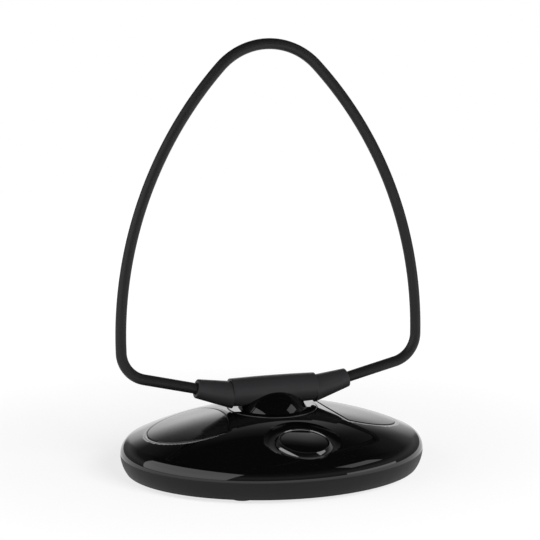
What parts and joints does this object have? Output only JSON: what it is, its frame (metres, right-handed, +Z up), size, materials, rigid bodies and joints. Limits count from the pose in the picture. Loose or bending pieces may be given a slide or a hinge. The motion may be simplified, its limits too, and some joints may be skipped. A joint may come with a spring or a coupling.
{
  "type": "indoor tv aerial",
  "caption": "Desktop indoor tv aerial: a rounded triangular loop on a horizontal hub, on a neck that swivels in an oval domed base",
  "frame": {"origin": "middle of the base, on the table", "axes": "+Z up, +X to the right seen from the front, the badge faces -Y"},
  "size_m": [0.2142, 0.177, 0.2878],
  "materials": {
    "matte_black": "fine moulded texture",
    "gloss_black": "high gloss",
    "gloss_panel": "high gloss",
    "rubber_black": "matte rubber",
    "steel": "plain steel plate",
    "screw_steel": "zinc plated",
    "board_green": "solder mask",
    "tin": "tinned steel",
    "ferrite": "sintered ferrite",
    "ceramic": "ceramic",
    "white_plastic": "plain nylon",
    "hub_black": "satin moulded",
    "jacket_black": "satin rubber jacket",
    "rod_metal": "drawn rod",
    "brass": "plain brass"
  },
  "bodies": {
    "base": {"lower_shell": "matte_black", "top_cover": "gloss_black", "wing_panel_left": "gloss_panel", "wing_panel_right": "gloss_panel", "badge_ring": "gloss_black", "badge_disc": "gloss_black", "foot_front_left": "rubber_black", "foot_front_right": "rubber_black", "foot_rear_left": "rubber_black", "foot_rear_right": "rubber_black", "cable_gland": "rubber_black", "ballast_plate": "steel", "ballast_screws": "screw_steel", "circuit_board": "board_green", "board_screws": "screw_steel", "shield_can": "tin", "balun_core": "ferrite", "board_chips": "ceramic", "cable_clamp": "white_plastic", "feed_cable": "white_plastic", "cover_screws": "screw_steel", "friction_washer": "white_plastic"},
    "head": {"neck": "gloss_black", "retaining_ring": "matte_black", "retainer_screws": "screw_steel", "hub_centre": "hub_black", "hub_screws": "screw_steel", "hub_sleeve_left": "hub_black", "hub_sleeve_right": "hub_black", "loop_jacket": "jacket_black", "loop_rod": "rod_metal", "terminal_left": "brass", "terminal_right": "brass", "terminal_screws": "screw_steel"}
  },
  "joints": [
    {"name": "loop_swivel", "type": "hinge", "parent": "base", "child": "head", "pos_m": [0, 0, 0.04], "axis": [0, 0, 1], "range_deg": [-165, 165]}
  ]
}
